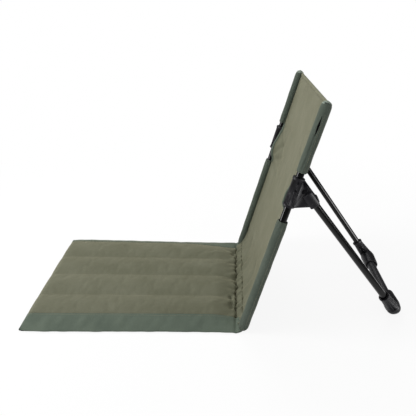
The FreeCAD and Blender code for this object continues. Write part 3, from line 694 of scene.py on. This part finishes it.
# %% [markdown]
# Tapes and hems are strips of cloth along the edges of another piece. The quickest true way to sew them is
# to copy the faces along that edge as a new piece and make the copy thicker: it then follows every fold of
# the cloth that it is sewn to.

# %% Strips along an edge
SIDES = (("left", 1), ("right", -1))


def drop_faces(piece, unwanted):
    """Delete the faces that are marked True, with the piece active."""
    bpy.ops.object.mode_set(mode="EDIT")
    bpy.ops.mesh.select_mode(type="FACE")
    bpy.ops.mesh.select_all(action="DESELECT")
    bpy.ops.object.mode_set(mode="OBJECT")
    piece.data.polygons.foreach_set("select", unwanted)
    bpy.ops.object.mode_set(mode="EDIT")
    bpy.ops.mesh.delete(type="FACE")
    bpy.ops.object.mode_set(mode="OBJECT")


def sewn_strip(piece, name, chosen):
    """A new piece from a copy of the faces whose middles are chosen."""
    strip = copy_of(piece, name)
    middles = np.empty(len(strip.data.polygons) * 3)
    strip.data.polygons.foreach_get("center", middles)
    only(strip)
    drop_faces(strip, ~chosen(middles.reshape(-1, 3)))
    return strip


def notch_edge(sign):
    """A choice of the faces along the cut-in of one side, 1 for the left and -1 for the right."""
    def chosen(middle):
        inside = (middle[:, 2] > NOTCH[0] - 0.002) & (middle[:, 2] < NOTCH[1] + 0.002)
        reach = SLING_HALF - NOTCH_DEPTH * notch_share(middle[:, 2]) - TAPE_WIDTH
        return inside & (sign * middle[:, 0] > reach)
    return chosen


tapes = [sewn_strip(sling, f"notch_edge_tape_{side}", notch_edge(sign)) for side, sign in SIDES]
hem = sewn_strip(sling, "top_hem_roll", lambda middle: middle[:, 2] > SLING_TOP - 0.011)

for tape, node_name in zip(tapes, ("notch_tape_left", "notch_tape_right")):
    finish_cloth(tape, green, 0.0055)
    lean_back(tape)
    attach(tape, "back")
    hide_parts(node_name)
finish_cloth(hem, khaki, 0.0036)
lean_back(hem)
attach(hem, "back")
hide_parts("top_hem")

finish_cloth(sling, khaki, 0.0013)
lean_back(sling)
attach(sling, "back")
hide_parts("back_panel")
print("sling, two tapes and a hem")

# %% [markdown]
# ## Pole sleeves
# Each pole stands in two sleeves of grey-green cloth, below and above the hub. A sleeve is a flat strip
# rolled round the pole and sewn to the sling behind it, so it is deeper than it is wide. The closed ends
# are rounded, and the open ends are gathered and hemmed. The upper sleeve has a slit on its outer side.
# Their green is drawn darker than the borders', as painted shade, and the pale strip over each upper end
# is a painted highlight.

# %% Rolled sleeve
# where round the pole the sling is sewn on
SEAM_ANGLE = math.atan2(0.005, -0.0098)
# from and to along the pole
LOWER, UPPER = (-0.0062, 0.289), (0.403, 0.5525)
# the radius that the cloth is cut for, and the half width and depth that it is rolled to
CUT_RADIUS, HALF_WIDE, HALF_DEEP, TIGHT_FRONT = 0.0112, 0.0108, 0.0118, 0.0104
# the length of the rounded end, and the widths of the hem and of the pale strip over the end, which is a
# painted highlight
DOME, HEM_WIDTH, END_WIDTH = 0.013, 0.009, 0.006
# columns of faces round a sleeve, the one that is slit, and how far the slit opens to each side
AROUND, SLIT_COLUMN = 40, 21
SLIT, SLIT_HALF = (0.484, 0.521), 0.0020


def rolled_sleeve(name, foot, top, closed_at, slit=None):
    """Roll a strip round the left pole, upright. closed_at is the end whose cloth is shut in a dome."""
    girth = 2 * math.pi * CUT_RADIUS
    sleeve = cut_cloth(name, girth, top - foot, AROUND, int((top - foot) / 0.0036))
    spots = points(sleeve)
    share = spots[:, 0] / girth + 0.5
    s = spots[:, 1] + (foot + top) / 2
    angle = SEAM_ANGLE + 2 * np.pi * share
    column = np.round(share * AROUND)
    middle = SEAM_ANGLE + 2 * np.pi * (SLIT_COLUMN + 0.5) / AROUND
    beside = np.sign(column - SLIT_COLUMN - 0.5)
    if slit:
        # the slit's lips part in a lens shape, and push the cloth beside them together
        inside = (s > slit[0]) & (s < slit[1])
        round_it = np.clip(1 - ((s - sum(slit) / 2) / ((slit[1] - slit[0]) / 2)) ** 2, 0, 1)
        part = np.where(inside, SLIT_HALF * round_it / 0.011 - np.pi / AROUND, 0)
        angle = angle + beside * part * np.exp(-((np.abs(angle - middle) - np.pi / AROUND) / 0.4) ** 2)
    folds = 0.00016 * waves(s + 0.004 * angle, 0.083, 0.051) + 0.0002 * np.sin(3 * angle + 2.0)
    open_end = s - foot if closed_at == "top" else top - s
    gathers = 0.0006 * np.sin(9 * angle + 2.0 * np.sin(s * 80)) * ease(0.05, 0.0, open_end)
    # a flat-felled seam runs down the outer side, a little behind its middle
    felled = 0.0010 * ease(0.34, 0.24, np.abs(angle - 2 * np.pi - 0.55))
    groove = 0.0
    if slit:
        # below the slit its seam goes on as a groove
        groove = -0.0020 * np.exp(-((angle - middle) / 0.10) ** 2)
        groove = groove * ease(foot, foot + 0.02, s) * ease(slit[0] + 0.01, slit[0], s)
    grow = 1 + (folds + gathers + felled + groove - 0.0012 * ease(0.014, 0.0, open_end)) / CUT_RADIUS
    shut = top - s if closed_at == "top" else s - foot
    dome = np.clip(1 - shut / DOME, 0, 1)
    ring = np.sqrt(np.clip(1 - dome ** 2, 0, 1))
    x = POLE_X + HALF_WIDE * np.cos(angle) * grow * ring
    # the upper sleeve is drawn tighter over the front of its pole
    half_deep = np.where((np.sin(angle) < 0) & bool(slit), TIGHT_FRONT, HALF_DEEP)
    depth = half_deep * np.sin(angle) * grow * ring
    move_to(sleeve, np.column_stack((x, depth, s)))
    only(sleeve)
    if slit:
        rows = len(s) // (AROUND + 1)
        faces = np.zeros((rows - 1, AROUND), bool)
        level = s.reshape(rows, AROUND + 1)[:, 0]
        faces[:, SLIT_COLUMN] = (level[:-1] > slit[0] - 0.003) & (level[1:] < slit[1] + 0.003)
        drop_faces(sleeve, faces.ravel())
    merge_points(0.0001, face_out=True)
    return sleeve


def sleeve_end(middle):
    """A choice of the faces on the closed top of the upper sleeve, but for its outer side: where a pale
    strip paints the highlight.
    """
    return (middle[:, 2] > UPPER[1] - END_WIDTH) & (middle[:, 0] < POLE_X + 0.006)


sleeves = {
    "lower_sleeve": rolled_sleeve("lower_sleeve_cloth_left", *LOWER, "foot"),
    "upper_sleeve": rolled_sleeve("upper_sleeve_cloth_left", *UPPER, "top", SLIT),
}
# the open ends are turned back in a hem, and the upper ends are shut under a folded strip of pale cloth, a
# painted highlight on the top fold
STRIPS = {
    "lower_sleeve_hem": (sleeves["lower_sleeve"], lambda middle: middle[:, 2] > LOWER[1] - HEM_WIDTH),
    "upper_sleeve_hem": (sleeves["upper_sleeve"], lambda middle: middle[:, 2] < UPPER[0] + HEM_WIDTH),
    "upper_sleeve_end": (sleeves["upper_sleeve"], sleeve_end),
}
for name, (piece, chosen) in STRIPS.items():
    strip = sewn_strip(piece, f"{name}_left", chosen)
    for strip, side in ((strip, "left"), (other_side(strip, f"{name}_right"), "right")):
        # the pale cloth of the top strip is a painted highlight, and the hems' darkened green is painted
        # shade
        finish_cloth(strip, pale_highlight_green if "end" in name else shaded_sleeve_green, 0.0022)
        lean_back(strip)
        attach(strip, "back")
for kind, left in sleeves.items():
    for piece, side in ((left, "left"), (other_side(left, f"{kind}_cloth_right"), "right")):
        # the sleeves take the darkened green, which paints their shade
        finish_cloth(piece, shaded_sleeve_green, 0.0009)
        lean_back(piece)
        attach(piece, "back")
        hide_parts(f"{kind}_{side}")
print("four sleeves")

# %% [markdown]
# ## The gathered crease
# Where the sling meets the mat, a strip of the same khaki cloth is sewn over the joint in two rows. The
# rows draw it together, so it is full of small gathers.

# %% Crease strip
CREASE_WIDTH, CREASE_LENGTH = 0.404, 0.040
crease = cut_cloth("crease_gather", CREASE_WIDTH, CREASE_LENGTH, 202, 16)
spots = points(crease)
x, share = spots[:, 0], spots[:, 1] / CREASE_LENGTH + 0.5
# the strip's path across the joint, from under the pad's end to the foot of the sling
PATH_SHARE = (0.0, 0.12, 0.28, 0.5, 0.75, 0.9, 1.0)
PATH_Y = (0.2572, 0.2600, 0.2618, 0.2664, 0.2718, 0.2748, 0.2764)
PATH_Z = (0.0020, 0.0032, 0.0095, 0.0142, 0.0180, 0.0185, 0.0150)
y = np.interp(share, PATH_SHARE, PATH_Y)
z = np.interp(share, PATH_SHARE, PATH_Z)
puff = np.sin(np.pi * np.clip(share, 0, 1))
ends = ease(CREASE_WIDTH / 2, 0.15, np.abs(x))
z = z + puff * (0.0018 * waves(x, 0.067, 0.041, 0.024) - 0.004 * (1 - ends))
z = z + 0.0006 * waves(x + 0.3 * y, 0.017, 0.0095) * puff * (0.5 + 0.5 * np.sin(2 * np.pi * x / 0.063))
y = y + 0.0010 * waves(x + 0.03, 0.053, 0.029, 0.018) * (0.5 + puff)
move_to(crease, np.column_stack((x, y, z)))
finish_cloth(crease, khaki, 0.0014)
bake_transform(crease)
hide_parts("crease_seam")
print("crease strip")

# %% [markdown]
# ## Stitching
# Each seam is a row of short stitches that sink into the cloth at both ends. One stitch is modelled, from a
# sphere drawn out and flattened, and copied along each row. The rows are read off the finished cloths, so
# that they lie on them. A real stitch is 3 mm long and half a millimetre thick; these are a little thicker.

# %% One stitch
STITCH, PITCH_LENGTH = 0.0030, 0.0044
STITCH_WIDTH, STITCH_HEIGHT = 0.0009, 0.0008
bpy.ops.object.select_all(action="DESELECT")
bpy.ops.mesh.primitive_uv_sphere_add(segments=6, ring_count=4, radius=0.5)
stitch = bpy.context.object
bpy.ops.object.mode_set(mode="EDIT")
bpy.ops.transform.rotate(value=math.pi / 2, orient_axis="Y", center_override=(0, 0, 0))
bpy.ops.transform.resize(value=(STITCH, STITCH_WIDTH, STITCH_HEIGHT))
bpy.ops.object.mode_set(mode="OBJECT")
stitch_points = points(stitch)
stitch_faces = [list(face.vertices) for face in stitch.data.polygons]
bpy.data.objects.remove(stitch)


def row_on(piece, start, end, facing):
    """Points every PITCH_LENGTH along a straight row, dropped onto a piece from the side that it faces."""
    start, end, facing = Vector(start), Vector(end), Vector(facing)
    found = []
    for step in range(int((end - start).length / PITCH_LENGTH)):
        above = start + (end - start).normalized() * (step + 0.5) * PITCH_LENGTH + facing * 0.03
        hit, place, normal, _ = piece.ray_cast(above, -facing, distance=0.06)
        if hit:
            found.append((place, normal))
    return found


def sew(name, rows, body):
    """One piece with a stitch at each place of the rows, lying along its row."""
    verts, faces = [], []
    for row in rows:
        for (place, normal), (ahead_place, _) in zip(row, row[1:]):
            run = (ahead_place - place).normalized()
            side = normal.cross(run).normalized()
            turn = np.array((run, side, run.cross(side)))
            base = len(verts)
            verts.extend(stitch_points @ turn + np.array(place) - 0.00005 * np.array(normal))
            faces.extend([[base + corner for corner in face] for face in stitch_faces])
    mesh = bpy.data.meshes.new(name)
    mesh.from_pydata([tuple(v) for v in verts], [], faces)
    thread = bpy.data.objects.new(name, mesh)
    scene.collection.objects.link(thread)
    mesh.materials.append(thread_material)
    only(thread)
    bpy.ops.object.shade_smooth()
    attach(thread, body)
    print(name, len(verts) // len(stitch_points), "stitches")
    return thread


def on_back(x, depth, s):
    """A place on the upright back, leaned back with it."""
    return (x, FOOT.y + depth * math.cos(LEAN) + s * math.sin(LEAN),
            FOOT.z - depth * math.sin(LEAN) + s * math.cos(LEAN))


bpy.context.view_layer.update()
UP = (0, 0, 1)
FRONT = (0, -math.cos(LEAN), math.sin(LEAN))
BEHIND = (0, math.cos(LEAN), -math.sin(LEAN))
seat_rows = [row_on(seat, (x * 1.04, -0.24, 0.02), (x, 0.245, 0.02), UP) for x in SEAMS[1:-1]]
seat_rows += [row_on(border, (start, -0.255, 0.015), (end, 0.250, 0.015), UP)
              for border, start, end in ((border_left, PAD_NEAR + 0.011, PAD_NEAR + 0.004),
                                         (border_right, -PAD_FAR - 0.016, -PAD_FAR + 0.004))]
seat_thread = sew("seat_stitching", seat_rows, "seat")
back_rows = []
for facing in (FRONT, BEHIND):
    back_rows.append(row_on(hem, on_back(-0.195, 0.005, 0.5425), on_back(0.195, 0.005, 0.5425), facing))
    for x in (-0.199, 0.199):
        for foot, top in ((0.03, 0.283), (0.408, 0.540)):
            back_rows.append(row_on(sling, on_back(x, 0.005, foot), on_back(x, 0.005, top), facing))
for kind, left in sleeves.items():
    foot, top = (0.012, 0.283) if kind == "lower_sleeve" else (0.409, 0.536)
    for depth in (0.0022, 0.0086):
        for piece, sign in ((left, 1), (bpy.data.objects[f"{kind}_cloth_right"], -1)):
            x = sign * POLE_X
            back_rows.append(row_on(piece, on_back(x, depth, foot), on_back(x, depth, top), (sign, 0, 0)))
sew("back_stitching", back_rows, "back")

# %% [markdown]
# ## Hub mouldings
# Each hub clamps its pole in a round barrel and covers the top of the leg with two cheeks. The outer cheek
# swells over the leg, which the plain solid leaves flat. A copy of the CAD hub is merged, and a rounded
# swelling is shaped from a cylinder and joined to its outer side, so all that fits the hub still fits it.

# %% Hub with its swelling
PIVOT = Vector((0, 0.399081, 0.354905))
LEG_DOWN = Vector((0, math.sin(math.radians(35.7)), -math.cos(math.radians(35.7))))
SWELL_RADIUS, SWELL_LENGTH, SWELL_PROUD = 0.0110, 0.034, 0.0050
COLLAR, COLLAR_DROP = 0.007, 0.005


def merged_copy(node_name, name):
    """A copy of a CAD node with its points merged, which can be shaped freely."""
    copy = copy_of(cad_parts[node_name], name)
    copy.parent = None
    for key in list(copy.keys()):
        del copy[key]
    only(copy)
    merge_points(0.00001)
    return copy


def hub_moulding(side, sign):
    """A copy of the CAD hub, with a lower top collar and a swelling over the leg."""
    cheek = POLE_X + 0.0082
    bpy.ops.object.select_all(action="DESELECT")
    bpy.ops.mesh.primitive_cylinder_add(vertices=40, radius=SWELL_RADIUS, depth=SWELL_LENGTH)
    swell = bpy.context.object
    swell.name = swell.data.name = f"hub_moulding_{side}"
    bpy.ops.object.mode_set(mode="EDIT")
    bpy.ops.mesh.select_all(action="SELECT")
    bpy.ops.transform.resize(value=(SWELL_PROUD / SWELL_RADIUS, 1, 1))
    bpy.ops.object.mode_set(mode="OBJECT")
    round_off = swell.modifiers.new("rounded ends", "BEVEL")
    round_off.width = 0.0032
    round_off.segments = 4
    round_off.limit_method = "ANGLE"
    bpy.ops.object.modifier_apply(modifier=round_off.name)
    middle = PIVOT + LEG_DOWN * (0.006 + SWELL_LENGTH / 2)
    turn = Vector((0, 0, -1)).rotation_difference(LEG_DOWN).to_matrix().to_4x4()
    swell.data.transform(Matrix.Translation((sign * cheek, middle.y, middle.z)) @ turn)
    copy = merged_copy(f"hub_{side}", f"hub_copy_{side}")
    # the top collar stands lower, so that the pole shows under the upper sleeve
    spots = points(copy)
    along_pole = np.array((0, math.sin(LEAN), math.cos(LEAN)))
    height = (spots - np.array(FOOT)) @ along_pole
    spots[height > height.max() - COLLAR] -= COLLAR_DROP * along_pole
    move_to(copy, spots)
    only(swell)
    copy.select_set(True)
    swell.data.materials.append(nylon)
    bpy.ops.object.join()
    bpy.ops.object.shade_smooth_by_angle(angle=math.radians(35))
    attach(swell, "back")
    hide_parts(f"hub_{side}")
    return swell


for side, sign in SIDES:
    print(hub_moulding(side, sign).name, "made")

# %% [markdown]
# ## Elbow mouldings
# The elbows of the prop frame are fuller at the corner than a plain bent pipe, and reach further over the
# cross bar. Copies of the CAD elbows are swollen round the corner and drawn out along the bar.

# %% Fuller elbows
CORNER = np.array((0.130, 0.648, 0.0105))
FATTEN, CORNER_CORE, CORNER_REACH = 0.0028, 0.012, 0.036
# how far the arm's mouth and the rear are drawn out, and from where to where the stretch comes in
ARM_STRETCH, ARM = 0.014, (0.118, 0.092)
REAR_STRETCH, REAR = 0.0032, (0.636, 0.658)


def elbow_moulding(side, sign):
    """A copy of the CAD elbow, fuller round its corner and longer over the cross bar."""
    elbow = merged_copy(f"elbow_{side}", f"elbow_moulding_{side}")
    mirror = np.array((sign, 1, 1))
    spots = points(elbow) * mirror
    outward = np.array([tuple(v.normal) for v in elbow.data.vertices]) * mirror
    near = ease(CORNER_REACH, CORNER_CORE, np.linalg.norm(spots - CORNER, axis=1))
    spots = spots + FATTEN * near[:, None] * outward
    spots[:, 0] -= ARM_STRETCH * ease(*ARM, spots[:, 0])
    spots[:, 1] += REAR_STRETCH * ease(*REAR, spots[:, 1])
    spots[:, 2] = np.maximum(spots[:, 2], 0.0)
    move_to(elbow, spots * mirror)
    only(elbow)
    bpy.ops.object.shade_smooth_by_angle(angle=math.radians(35))
    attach(elbow, "leg_frame")
    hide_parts(f"elbow_{side}")
    return elbow


for side, sign in SIDES:
    print(elbow_moulding(side, sign).name, "made")

# %% [markdown]
# ## The mat's own meshes
# The quilt, the borders and their stitching each get a mesh of their own.

# %% Own meshes for the mat
for piece in (seat, border_left, border_right, seat_thread):
    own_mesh(piece)
